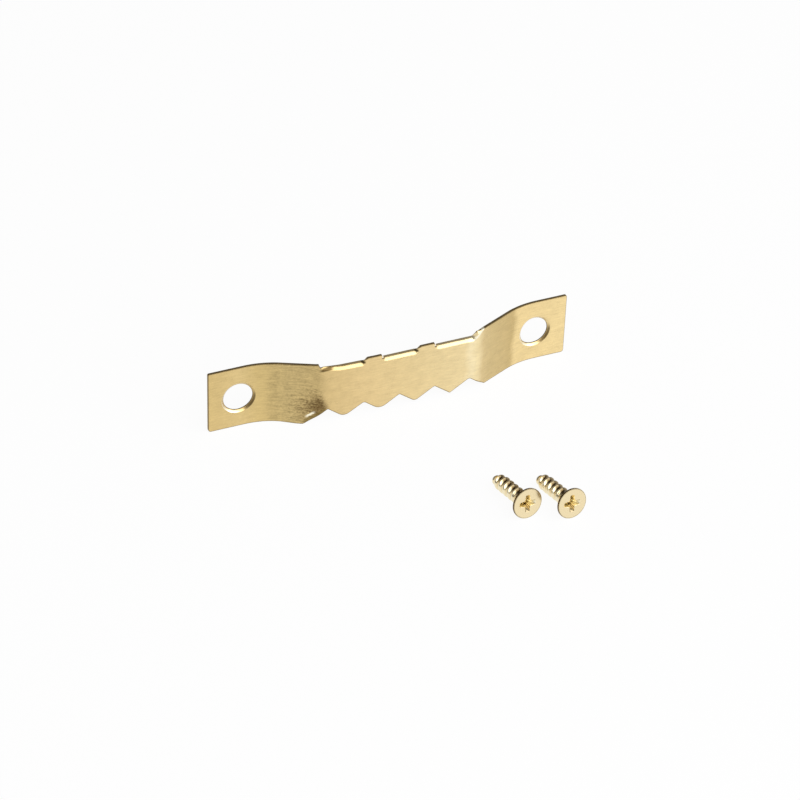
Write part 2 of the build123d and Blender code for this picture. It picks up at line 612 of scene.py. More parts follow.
@dataclass(frozen=True)
class SheetPlating:
    """Satin brass plating on the pressed strip, brushed along it, with painted light where it
    bends.
    """

    # Tone along the strip: painted shade on the legs, a painted highlight at the right deck bend
    tones_with_painted_light: tuple[tuple[float, str], ...] = (
        (-30.0, "DABF83"),
        (-25.0, "DFC58B"),
        (-21.6, "D6BC80"),
        (-17.6, "C3AC77"),
        (-13.3, "C3AB76"),
        (-11.9, "DBC088"),
        (-6.0, "E6CB94"),
        (0.0, "E7CE98"),
        (7.0, "EAD39F"),
        (11.2, "EDD7A4"),
        (12.3, "F9E7BA"),
        (13.2, "F3DFAE"),
        (14.5, "DBC38E"),
        (16.0, "D3BB85"),
        (20.5, "CDB47C"),
        (21.6, "F0D69C"),
        (30.0, "F2D9A0"),
    )
    # Painted shade on the left leg's patch
    patch_shade: Colour = linear("6B5431")
    # Sheared steel, also used for painted shade in the holes
    sheared: Colour = linear("8A7650")
    # Painted highlight
    glint: Colour = linear("FFF8E0")
    # Painted shade along the rolled edge
    rolled_shade: Colour = linear("85703F")
    # Painted shade in folds, creases and deep in the holes
    crease_shade: Colour = linear("54401F")
    # Noises: slow clouds, grain, mottling, specks, and hairs combed along the strip
    clouds: Speckle = Speckle((0.25, 0.25, 0.3))
    grains: Speckle = Speckle((2.2, 2.2, 2.6), 4.0)
    mottles: Speckle = Speckle((0.7, 0.7, 0.9), 3.0)
    specks: Speckle = Speckle((3.2, 3.2, 4.2), 3.0)
    hairlines: Speckle = Speckle((0.5, 0.5, 6.0), 3.0)
    # The hairs curve down from here on, by this much, and straighten again at the deck
    comb_start: float = -16.5
    comb_curve: float = 0.07
    comb_end: tuple[float, float] = (-11.5, -12.5)
    # How far each noise shades the plating, more on the left leg than elsewhere
    cloud_shift: float = 1.6
    grain_shade: float = 0.18
    mottle_shade: float = 0.22
    hair_shade: float = 0.3
    leg: Stretch = Stretch(-20.5, -12.6, 3.0)
    leg_hair_shade: float = 0.55
    leg_speck_shade: float = 0.5
    foot: Stretch = Stretch(-20.3, -18.9, 0.8)
    foot_shade: float = 0.07
    # Painted shade on the left leg: its middle, its reach, its ragged rim, and its end at the bend
    patch: tuple[float, float] = (-12.9, -2.5)
    patch_reach: tuple[float, float] = (4.7, 4.1)
    patch_ragged: float = 1.25
    patch_rim: tuple[float, float] = (1.1, -0.1)
    patch_side: tuple[float, float, float] = (-12.9, 0.5, 0.37)
    patch_fade: tuple[float, float] = (0.6, -0.7)
    # The first notch's valley, and the direction of the flank that leads up to it
    valley: tuple[float, float] = (-11.65, -3.1)
    flank: tuple[float, float] = (0.531, 0.847)
    # Painted light beside that flank: the rolled band's shade, and a highlight streak
    rolled_across: Stretch = Stretch(-0.3, 0.62, 0.2)
    rolled_along: Stretch = Stretch(-4.2, -0.4, 0.5)
    rolled_share: float = 0.7
    streak_across: Stretch = Stretch(0.78, 1.12, 0.25)
    streak_along: Stretch = Stretch(-3.35, -1.95, 0.7)
    streak_ragged: float = 0.3
    streak_share: float = 0.95
    # Painted shade in the fold where the turned edge begins, and in creases beside the ears
    fold_across: Stretch = Stretch(-12.9, -10.9, 0.9)
    fold_up: Stretch = Stretch(4.3, 4.82, 0.2)
    fold_ragged: float = 0.7
    fold_share: float = 0.9
    creases: tuple[tuple[float, float], ...] = ((-5.88, 4.45), (2.97, 4.47))
    crease_reach: tuple[float, float] = (0.32, 0.17)
    crease_rim: tuple[float, float] = (1.5, 0.3)
    crease_share: float = 0.85
    # Painted highlight where the turned edge curls into the right leg, climbing at this slope
    curl: tuple[float, float] = (12.9, 4.35)
    curl_slope: float = 0.86
    curl_across: Stretch = Stretch(12.75, 14.6, 0.4)
    curl_up: Stretch = Stretch(-0.25, 0.25, 0.2)
    curl_share: float = 0.85
    # Roughness, what hairs, grain, sheared edges and painted shade add, and the bump's own share
    roughness: float = 0.30
    hair_roughness: float = 0.12
    grain_roughness: float = 0.08
    sheared_roughness: float = 0.2
    grain_height: float = 0.5
    relief: tuple[float, float] = (0.25, 0.012)

    def tone(self, graph: Graph, x: Signal, cloud: Signal) -> Signal:
        """Colour the strip along its length, with painted shade and highlights in the tones.

        Args:
            graph: The material's tree.
            x: The place along the strip.
            cloud: A slow noise about 0.

        Returns:
            The colour.
        """
        first, last = self.tones_with_painted_light[0][0], self.tones_with_painted_light[-1][0]
        share = (x + cloud * self.cloud_shift - first) / (last - first)
        stops = [((place - first) / (last - first), linear(code)) for place, code in self.tones_with_painted_light]
        return graph.node("ShaderNodeValToRGB", {"stops": stops}, {0: share})

    def leg_shade_and_glint(self, graph: Graph, x: Signal, z: Signal, hairs: Signal, tone: Signal) -> Signal:
        """Paint shade and a highlight on the left leg beside the first notch, where the press bent
        it.

        Args:
            graph: The material's tree.
            x: The place along the strip.
            z: The height.
            hairs: A noise of fine lines and specks, about 0.
            tone: The colour so far.

        Returns:
            The colour with the painted shade of the patch and the rolled band, and the painted
            highlight streak.
        """
        wide = (x - self.patch[0]) / self.patch_reach[0]
        tall = (z - self.patch[1]) / self.patch_reach[1]
        away = (wide * wide + tall * tall).math("SQRT") + hairs * self.patch_ragged
        across, up, lean = self.patch_side
        side = (x - across + (z - up) * lean).rise(*self.patch_fade)
        tone = graph.mix(away.rise(*self.patch_rim) * side, tone, self.patch_shade)
        beside, above = x - self.valley[0], z - self.valley[1]
        across = above * self.flank[1] - beside * self.flank[0]
        along = beside * self.flank[1] + above * self.flank[0]
        rolled = across.band(self.rolled_across) * along.band(self.rolled_along)
        tone = graph.mix(rolled * self.rolled_share, tone, self.rolled_shade)
        ragged = across + hairs * self.streak_ragged
        streak = ragged.band(self.streak_across) * along.band(self.streak_along)
        return graph.mix(streak * self.streak_share, tone, self.glint)

    def creased(self, graph: Graph, x: Signal, z: Signal, hairs: Signal, tone: Signal) -> Signal:
        """Paint shade in the turned edge's first fold and its creases beside the ears, and a
        highlight on its last curl.

        Args:
            graph: The material's tree.
            x: The place along the strip.
            z: The height.
            hairs: A noise of fine lines and specks, about 0.
            tone: The colour so far.

        Returns:
            The colour with the painted shade and highlight.
        """
        ragged = x + hairs * self.fold_ragged
        folded = ragged.band(self.fold_across) * z.band(self.fold_up)
        tone = graph.mix(folded * self.fold_share, tone, self.crease_shade)
        for place, height in self.creases:
            wide = (x - place) / self.crease_reach[0]
            tall = (z - height) / self.crease_reach[1]
            near = (wide * wide + tall * tall).rise(*self.crease_rim)
            tone = graph.mix(near * self.crease_share, tone, self.crease_shade)
        climb = z - self.curl[1] - (x - self.curl[0]) * self.curl_slope
        curled = climb.band(self.curl_up) * x.band(self.curl_across)
        return graph.mix(curled * self.curl_share, tone, self.glint)

    def material(self) -> bpy.types.Material:
        """Build the material.

        Returns:
            The material for the strip.
        """
        made = bpy.data.materials.new("satin_brass_plating")
        graph = Graph(made)
        place = graph.place()
        axes = graph.node("ShaderNodeSeparateXYZ", None, {"Vector": place})
        x, z = axes.output("X"), axes.output("Z")
        cloud, grain = graph.noise(place, self.clouds), graph.noise(place, self.grains)
        mottle, speck = graph.noise(place, self.mottles), graph.noise(place, self.specks)
        past = (x - self.comb_start).math("MAXIMUM", 0.0) * x.rise(*self.comb_end)
        values = {"X": x, "Y": axes.output("Y"), "Z": z + past * past * self.comb_curve}
        hairs = graph.noise(graph.node("ShaderNodeCombineXYZ", None, values), self.hairlines)

        worn = graph.worn()
        # Marks 0 to 1: sheared steel and painted shade; 1 to 2: deeper painted shade; below 0:
        # painted highlight
        sheared = worn.rise(0.0, 1.0)
        tone = graph.mix(sheared, self.tone(graph, x, cloud), self.sheared)
        tone = graph.mix(worn.rise(1.0, 2.0), tone, self.crease_shade)
        tone = graph.mix(worn.rise(0.0, -1.0), tone, self.glint)
        tone = self.leg_shade_and_glint(graph, x, z, hairs + speck, tone)
        tone = self.creased(graph, x, z, hairs + speck, tone)

        leg, foot = x.band(self.leg), x.band(self.foot)
        streaks = hairs * (leg * self.leg_hair_shade + self.hair_shade)
        streaks = streaks + speck * leg * self.leg_speck_shade
        shade = 1 - foot * self.foot_shade + streaks
        shade = shade + grain * self.grain_shade + mottle * self.mottle_shade
        tint = graph.node("ShaderNodeCombineColor", None, {0: shade, 1: shade, 2: shade})
        settings = {"data_type": "RGBA", "blend_type": "MULTIPLY"}
        tone = graph.node("ShaderNodeMix", settings, {0: 1.0, 6: tone, 7: tint}, 2)
        rough = self.roughness + hairs * self.hair_roughness
        rough = rough + grain * self.grain_roughness + sheared * self.sheared_roughness
        graph.metal(tone, rough, hairs + grain * self.grain_height, self.relief)
        return made


@dataclass(frozen=True)
class ScrewPlating:
    """Bright brass plating on the screws, with painted highlights and painted shade from their
    marks.
    """

    gold: Colour = linear("F0DEB4")
    painted_highlight: Colour = linear("F4EBCC")
    dark: Colour = linear("57431F")
    grains: Speckle = Speckle((2.5, 2.5, 2.5), 3.0)
    clouds: Speckle = Speckle((0.8, 0.8, 0.8))
    roughness: float = 0.17
    grain_roughness: float = 0.08
    cloud_roughness: float = 0.05
    relief: tuple[float, float] = (0.3, 0.02)

    def material(self) -> bpy.types.Material:
        """Build the material.

        Returns:
            The material for the screws.
        """
        made = bpy.data.materials.new("bright_brass_plating")
        graph = Graph(made)
        place, worn = graph.place(), graph.worn()
        grain, cloud = graph.noise(place, self.grains), graph.noise(place, self.clouds)
        # Marks below 0 paint highlights, marks above 0 paint shade
        tone = graph.mix((0 - worn).math("MAXIMUM", 0.0), self.gold, self.painted_highlight)
        tone = graph.mix(worn.math("MAXIMUM", 0.0), tone, self.dark)
        rough = self.roughness + grain * self.grain_roughness + cloud * self.cloud_roughness
        graph.metal(tone, rough, grain, self.relief)
        return made


@dataclass(frozen=True)
class EdgeStep:
    """One ring of an edge's profile.

    It lies this far inside the edge's outline and below the sheet's front, is darkened by its
    mark for sheared steel and painted shade, or lit by a painted highlight below 0, and lies
    further inside along edges that face down.
    """

    inset: float
    depth: float
    mark: float = 0.0
    under: float = 0.0


@dataclass
class HangerStrip:
    """The strip: one plated sheet with its tabs, legs, deck, saw row, ears and turned edge."""

    body: str = "strip"
    node: str = "hanger_strip"
    # Sheet, holes and corners
    sheet: float = 0.5
    left_margin: float = 4.95
    right_margin: float = 5.45
    hole_bore: float = 4.8
    hole_mouth: float = 5.6
    bevel_depth: float = 0.33
    upper_corner_round: float = 0.25
    lower_corner_round: float = 0.45
    hole_sides: int = 96
    # Legs and deck in plan
    left_foot_gap: float = 3.9
    right_foot_gap: float = 2.7
    left_leg_run: float = 8.0
    right_leg_run: float = 8.95
    stand_off: float = 4.05
    sag_depth: float = 0.35
    foot_bend: float = 13.0
    left_deck_bend: float = 3.0
    right_deck_bend: float = 1.2
    sag_bend: float = 30.0
    # Saw notches
    tooth_pitch: float = 5.95
    tooth_depth: float = 2.05
    tooth_lift: float = 0.25
    tip_share: float = 0.45
    valley_rounds: tuple[float, ...] = (0.2, 0.5, 0.3, 0.3, 0.45)
    tip_rounds: tuple[float, ...] = (1.36, 1.6, 0.88, 0.24)
    outer_round: float = 0.3
    # Ears, the tears beside them and the turned edge
    ear_width: float = 2.4
    ear_spacing: float = 8.85
    ear_shift: float = 0.375
    ear_drop: float = 0.4
    tear_width: float = 0.45
    tear_drop: float = 1.25
    tear_lean: float = 0.27
    lip_drop: float = 1.15
    lip_bend: float = 0.25
    lip_run: float = 0.2
    lip_fold: float = math.radians(90)
    step_fold: float = math.radians(12)
    lead_drop: float = 0.55
    lead_slope: float = 0.3
    lead_share: float = 0.41
    lead_fold: float = math.radians(50)
    ramp_length: float = 0.9
    # The right turned edge before and after the deck's end: its fall from full, its crease, its end
    lip_last: float = 0.45
    lip_crease: float = 0.15
    lip_fade: float = 1.4
    small_round: float = 0.12
    corner_room: float = 0.156
    # How far the first notch's outer corner is pressed forward, where, and its reach about there
    push: float = 0.45
    push_place: float = -15.7
    push_reach: tuple[float, float, float] = (2.3, 1.3, 1.7)
    # The edges' roll at the front, the line under the saw row, and the burr at the back
    roll: float = 0.09
    seam: float = 0.005
    under_line: float = 0.11
    burr: float = 0.04
    # Where the bevels get painted highlights and painted shade, as directions to the hole's middle
    shine_way: tuple[float, float] = (0.66, 0.88)
    shade_way: tuple[float, float] = (-0.8, 0.6)
    shade_power: float = 3.0
    shade_mark: float = 1.5
    tear_plain: float = 0.85
    # The turned edge's painted highlight, from this fold on
    lip_highlight: float = -0.13
    lip_highlight_fold: float = 1.0
    # The mesh: outline points, rows over bends and turned edges, the coarse rest, and the gaps
    plan_steps: int = 4000
    spacing: float = 0.2
    bend_columns: int = 9
    bend_spacing: float = 0.45
    fold_rows: int = 9
    fold_spacing: float = 0.22
    least_fold: float = 0.02
    coarse_spacing: float = 0.8
    edge_gap: float = 0.07
    fine_gap: float = 0.09
    coarse_gap: float = 0.3

    def __post_init__(self) -> None:
        """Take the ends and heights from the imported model, and lay out the sheet in plan."""
        low, high = (Vector(corner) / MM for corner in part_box(self.node))
        self.left, self.right = low.x, high.x
        self.bottom, self.top = low.z, high.z
        self.holes = (self.left + self.left_margin, self.right - self.right_margin)
        foot_left = self.holes[0] + self.left_foot_gap
        foot_right = self.holes[1] - self.right_foot_gap
        deck_left, deck_right = foot_left + self.left_leg_run, foot_right - self.right_leg_run
        middles = [self.ear_shift + side * self.ear_spacing / 2 for side in (-1, 1)]
        self.ears = [(m - self.ear_width / 2, m + self.ear_width / 2) for m in middles]
        foot, depth = self.foot_bend + self.sheet, self.stand_off
        self.plan = BentLine(
            [
                (self.left, 0),
                (foot_left, 0),
                (deck_left, self.sag_depth - depth),
                (middles[0], -depth),
                (deck_right, -depth),
                (foot_right, 0),
                (self.right, 0),
            ],
            [foot, self.left_deck_bend, self.sag_bend, self.right_deck_bend, foot],
        )
        self.table = np.linspace(0, self.plan.length, self.plan_steps)
        places, right = self.plan.at(self.table)
        self.table_x = (places + right * self.sheet)[:, 0]
        ends = self.plan.at(np.array([self.plan.bends[1][1], self.plan.bends[3][0]]))[0]
        self.flat_left, self.flat_right = ends[:, 0]
        self.step_start = deck_left - self.lead_slope / 2
        self.step_end = deck_left + self.lead_slope / 2
        self._lay_out_edge()

    def _lay_out_edge(self) -> None:
        """Table the height and the fold of the deck's upper edge along the strip."""
        ear, lip, lead = (self.top - d for d in (self.ear_drop, self.lip_drop, self.lead_drop))
        lead_end = self.flat_left + self.lead_share * (self.ears[0][0] - self.flat_left)
        stations = [
            (self.left, self.top, 0.0),
            (self.step_start, self.top, 0.0),
            (self.step_end, lead, self.step_fold),
            (self.flat_left, lead, self.lead_fold),
            (lead_end, lip, self.lip_fold),
        ]
        for ear_left, ear_right in self.ears:
            stations += [
                (ear_left - self.ramp_length, lip, self.lip_fold),
                (ear_left, ear, 0.0),
                (ear_right + self.tear_lean, ear, 0.0),
                (ear_right + self.tear_width, lip, self.lip_fold),
            ]
        stations += [
            (self.flat_right - self.lip_last, lip, self.lip_fold),
            (self.flat_right + self.lip_crease, self.top, self.lead_fold),
            (self.flat_right + self.lip_fade, self.top, 0.0),
            (self.right, self.top, 0.0),
        ]
        self.stations = np.array(stations)

    def along(self, x: Points) -> Points:
        """Turn places across the front into lengths along the sheet."""
        return np.interp(x, self.table_x, self.table)

    def edge(self, x: Points) -> tuple[Points, Points, Points]:
        """Describe the deck's upper edge.

        Args:
            x: Places across the front.

        Returns:
            The fold there, the height at which it starts and the sheet's height when flat.
        """
        crest = np.interp(x, self.stations[:, 0], self.stations[:, 1])
        fold = np.interp(x, self.stations[:, 0], self.stations[:, 2])
        outer = self.lip_bend + self.sheet
        start = crest - outer * np.sin(fold) - self.lip_run * np.cos(fold)
        return fold, start, start + outer * fold + self.lip_run

    def lay(self, flat: Points, depth: float) -> Points:
        """Lay points of the flat sheet on the bent one.

        Args:
            flat: Lengths along the sheet and heights up it.
            depth: How far below the front face they are.

        Returns:
            Their places.
        """
        along, up = flat[:, 0], flat[:, 1]
        places, right = self.plan.at(along)
        across = np.interp(along, self.table, self.table_x)
        fold, start, _ = self.edge(across)
        outer = self.lip_bend + self.sheet
        over = np.maximum(up - start, 0)
        turned = np.minimum(over / outer, fold)
        tail = over - outer * turned
        out = (outer - depth) * np.cos(turned) - tail * np.sin(turned) - self.lip_bend
        out += self.pushed(across, up)
        rise = np.minimum(up, start) + (outer - depth) * np.sin(turned) + tail * np.cos(turned)
        spots = places + right * out[:, None]
        return np.column_stack([spots, rise])

    def pushed(self, across: Points, up: Points) -> Points:
        """Find how far the first notch's outer corner is pressed forward.

        Args:
            across: Places across the front.
            up: Heights.

        Returns:
            The way forward at each place.
        """
        before, after, above = self.push_reach
        beside = across - self.push_place
        beside /= np.where(beside < 0, before, after)
        return self.push * np.exp(-(beside**2) - ((up - self.bottom) / above) ** 2)

    def upper_edge(self, right: float, left: float) -> list[Corner]:
        """Follow the upper edge from right to left.

        Args:
            right: Where to start, across the front.
            left: Where to end.

        Returns:
            Corners close enough together to follow its slopes.
        """
        count = max(2, math.ceil((right - left) / self.spacing))
        across = np.linspace(right, left, count)
        _, _, height = self.edge(across)
        return [Corner(float(x), float(z)) for x, z in zip(across, height)]

    def outline(self) -> Points:
        """Draw the sheet's outline, seen from the front, anticlockwise.

        Returns:
            Lengths along the sheet and heights.
        """
        valley = self.bottom + self.tooth_lift + self.tooth_depth
        notches = len(self.valley_rounds)
        middle = (self.left + self.right) / 2
        valleys = [middle + (i - (notches - 1) / 2) * self.tooth_pitch for i in range(notches)]
        fall = (valley - self.bottom) / self.tooth_depth * self.tooth_pitch
        corners = [Corner(self.left, self.bottom, self.lower_corner_round)]
        start = valleys[0] - (1 - self.tip_share) * fall
        corners.append(Corner(start, self.bottom, self.outer_round))
        for i, x in enumerate(valleys):
            corners.append(Corner(x, valley, self.valley_rounds[i]))
            if i < notches - 1:
                tip = x + self.tip_share * self.tooth_pitch
                corners.append(Corner(tip, valley - self.tooth_depth, self.tip_rounds[i]))
        finish = valleys[-1] + self.tip_share * fall
        corners.append(Corner(finish, self.bottom, self.outer_round))
        corners.append(Corner(self.right, self.bottom, self.lower_corner_round))
        corners.append(Corner(self.right, self.top, self.upper_corner_round))
        right = self.flat_right + self.lip_fade
        for ear_left, ear_right in reversed(self.ears):
            lip_left = ear_right + self.tear_width
            corners += self.upper_edge(right, lip_left + self.corner_room)
            height = float(self.edge(np.array([lip_left]))[2][0])
            floor = self.top - self.tear_drop
            corners.append(Corner(lip_left, height, self.small_round))
            corners.append(Corner(lip_left, floor, self.small_round))
            corners.append(Corner(ear_right, floor, self.small_round))
            corners.append(Corner(ear_right, self.top - self.ear_drop, self.small_round))
            right = ear_left + self.small_round
        corners += self.upper_edge(right, self.step_end)
        corners.append(Corner(self.step_start, self.top, self.small_round))
        corners.append(Corner(self.left, self.top, self.upper_corner_round))
        front = divided(rounded(corners), self.spacing)
        return np.column_stack([self.along(front[:, 0]), front[:, 1]])

    def spread(self, loops: list[Points]) -> Points:
        """Spread points over the sheet, closer where it bends.

        Args:
            loops: The outline and the holes, which the points stay clear of.

        Returns:
            The points.
        """
        groups = []
        for start, finish in self.plan.bends:
            columns = np.linspace(start, finish, self.bend_columns)
            groups.append(self.lattice(columns, self.bend_spacing))
        (first, after_first), (second, after_second) = self.ears
        turned = (
            (self.step_start, first),
            (after_first + self.tear_width, second),
            (after_second + self.tear_width, self.flat_right + self.lip_fade),
        )
        across = np.concatenate([np.arange(*ends, self.fold_spacing) for ends in turned])
        fold, start, height = self.edge(across)
        for share in np.linspace(0, 1, self.fold_rows):
            rows = start + (height - self.lip_run - start) * share
            groups.append(np.column_stack([self.along(across), rows])[fold > self.least_fold])
        columns = np.arange(0, self.plan.length, self.coarse_spacing)
        groups.append(self.lattice(columns, self.coarse_spacing))
        edges = np.vstack(loops)
        kept = np.zeros((0, 2))
        for i, group in enumerate(groups):
            inside = enclosed(group, loops[0])
            for hole in loops[1:]:
                inside &= ~enclosed(group, hole)
            group = clear_of(group[inside], edges, self.edge_gap)
            if len(kept):
                gap = self.fine_gap if i < len(groups) - 1 else self.coarse_gap
                group = clear_of(group, kept, gap)
            kept = np.vstack([kept, group])
        return kept

    def lattice(self, columns: Points, spacing: float) -> Points:
        """Set points up the sheet in columns.

        Args:
            columns: The columns' lengths along the sheet.
            spacing: The rise between two points.

        Returns:
            The points.
        """
        rows = np.arange(self.bottom, self.top, spacing)
        return np.stack(np.meshgrid(columns, rows), -1).reshape(-1, 2)

    def worn(self, loop: Points, away: Points, mark: float) -> Points:
        """Find the marks round an edge's loop: sheared steel, painted shade and painted highlights.

        Args:
            loop: The loop's points.
            away: The directions that leave the sheet there.
            mark: How far the edge is darkened, or lit by a painted highlight where it is below 0.

        Returns:
            The mark at each point: less in the tears, and uneven round a bevel's painted highlight
                and shade.
        """
        if mark < 0:
            # A negative mark paints a highlight towards shine_way; painted shade gathers towards
            # shade_way
            bright = np.clip(away @ self.shine_way, 0, 1)
            dark = np.clip(away @ self.shade_way, 0, 1) ** self.shade_power
            return mark * bright + dark * self.shade_mark
        plain = np.zeros(len(loop))
        low = loop[:, 1] < self.top - self.ear_drop - self.small_round
        for _, ear_right in self.ears:
            middle = self.along(np.array([ear_right + self.tear_width / 2]))[0]
            near = np.abs(loop[:, 0] - middle) < self.tear_width
            plain[near & low & (loop[:, 1] > 0)] = self.tear_plain
        return mark * (1 - plain)

    def rim(self) -> list[EdgeStep]:
        """Section the outer edge.

        Returns:
            Its rings from front to back: rolled, sheared and burred.
        """
        back = self.sheet
        turn, drop = (share * self.burr for share in QUARTER_ROUND[1])
        rolled = [(inset * self.roll, depth * self.roll) for inset, depth in QUARTER_ROUND]
        return [
            EdgeStep(self.roll + self.seam, 0.0, 0.0, self.under_line),
            EdgeStep(self.roll, 0.0, 0.75),
            *(EdgeStep(inset, depth, 0.8) for inset, depth in rolled),
            EdgeStep(0.0, self.roll, 1.0),
            EdgeStep(0.0, back - self.burr, 1.0),
            EdgeStep(turn, back - drop, 0.6),
            EdgeStep(self.burr, back, 0.0),
        ]

    def bore(self) -> list[EdgeStep]:
        """Section a hole's edge.

        Returns:
            Its rings from front to back: the bevel with a painted highlight, and the bore in
                painted shade.
        """
        bevel, deep, soft = (self.hole_mouth - self.hole_bore) / 2, self.bevel_depth, self.burr
        return [
            EdgeStep(bevel + soft, 0.0),
            EdgeStep(bevel, soft / 4, -0.4),
            EdgeStep(bevel - soft, soft, -1.0),
            EdgeStep(bevel * 0.4, deep * 0.6, -0.6),
            EdgeStep(soft, deep - soft, 0.5),
            EdgeStep(0.0, deep, 1.8),
            EdgeStep(0.0, deep + soft, 2.0),
            EdgeStep(0.0, self.sheet - soft, 2.0),
            EdgeStep(soft, self.sheet, 0.3),
        ]

    def loops(self) -> list[Points]:
        """Draw what bounds the flat sheet.

        Returns:
            The outline, and then the two holes, clockwise.
        """
        angles = np.linspace(0, -TURN, self.hole_sides, endpoint=False)
        circle = np.stack([np.cos(angles), np.sin(angles)], axis=1) * self.hole_bore / 2
        middles = self.along(np.array(self.holes))
        return [self.outline(), *(circle + (middle, 0.0) for middle in middles)]

    def build(self) -> bpy.types.Object:
        """Build the strip's mesh.

        Returns:
            The piece.
        """
        draft = MeshDraft()
        fronts, backs, front_rings, back_rings = [], [], [], []
        for loop, steps in zip(self.loops(), (self.rim(), self.bore(), self.bore())):
            away = outward(loop)
            rings = []
            for step in steps:
                inset = step.inset + step.under * np.clip(-2 * away[:, 1], 0, 1)
                flat = loop - away * inset[:, None]
                mark = self.worn(loop, away, step.mark)
                rings.append((flat, draft.add(self.lay(flat, step.depth), mark)))
            for (_, upper), (_, lower) in zip(rings, rings[1:]):
                draft.bridge(upper, lower)
            fronts.append(rings[0][0])
            backs.append(rings[-1][0])
            front_rings.append(rings[0][1])
            back_rings.append(rings[-1][1])
        skins = ((fronts, front_rings, 0.0, 1), (backs, back_rings, self.sheet, -1))
        for flats, rings, depth, order in skins:
            spread = self.spread(flats)
            across = np.interp(spread[:, 0], self.table, self.table_x)
            fold, start, _ = self.edge(across)
            # Painted highlight on the turned edges from the first ear on
            turned = (spread[:, 1] > start) & (fold > self.lip_highlight_fold) & (depth == 0)
            mark = np.where(turned & (across > self.ears[0][0]), self.lip_highlight, 0.0)
            numbers = np.concatenate([*rings, draft.add(self.lay(spread, depth), mark)])
            for triangle in filled(flats, spread):
                draft.faces.append(tuple(numbers[list(triangle)][::order]))
        return draft.piece("hanger_strip_plated")

    def make(self) -> bpy.types.Object:
        """Build the strip and dress it.

        Returns:
            The finished piece.
        """
        piece = self.build()
        piece.data.materials.append(SheetPlating().material())
        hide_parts(self.node)
        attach(piece, self.body)
        return piece


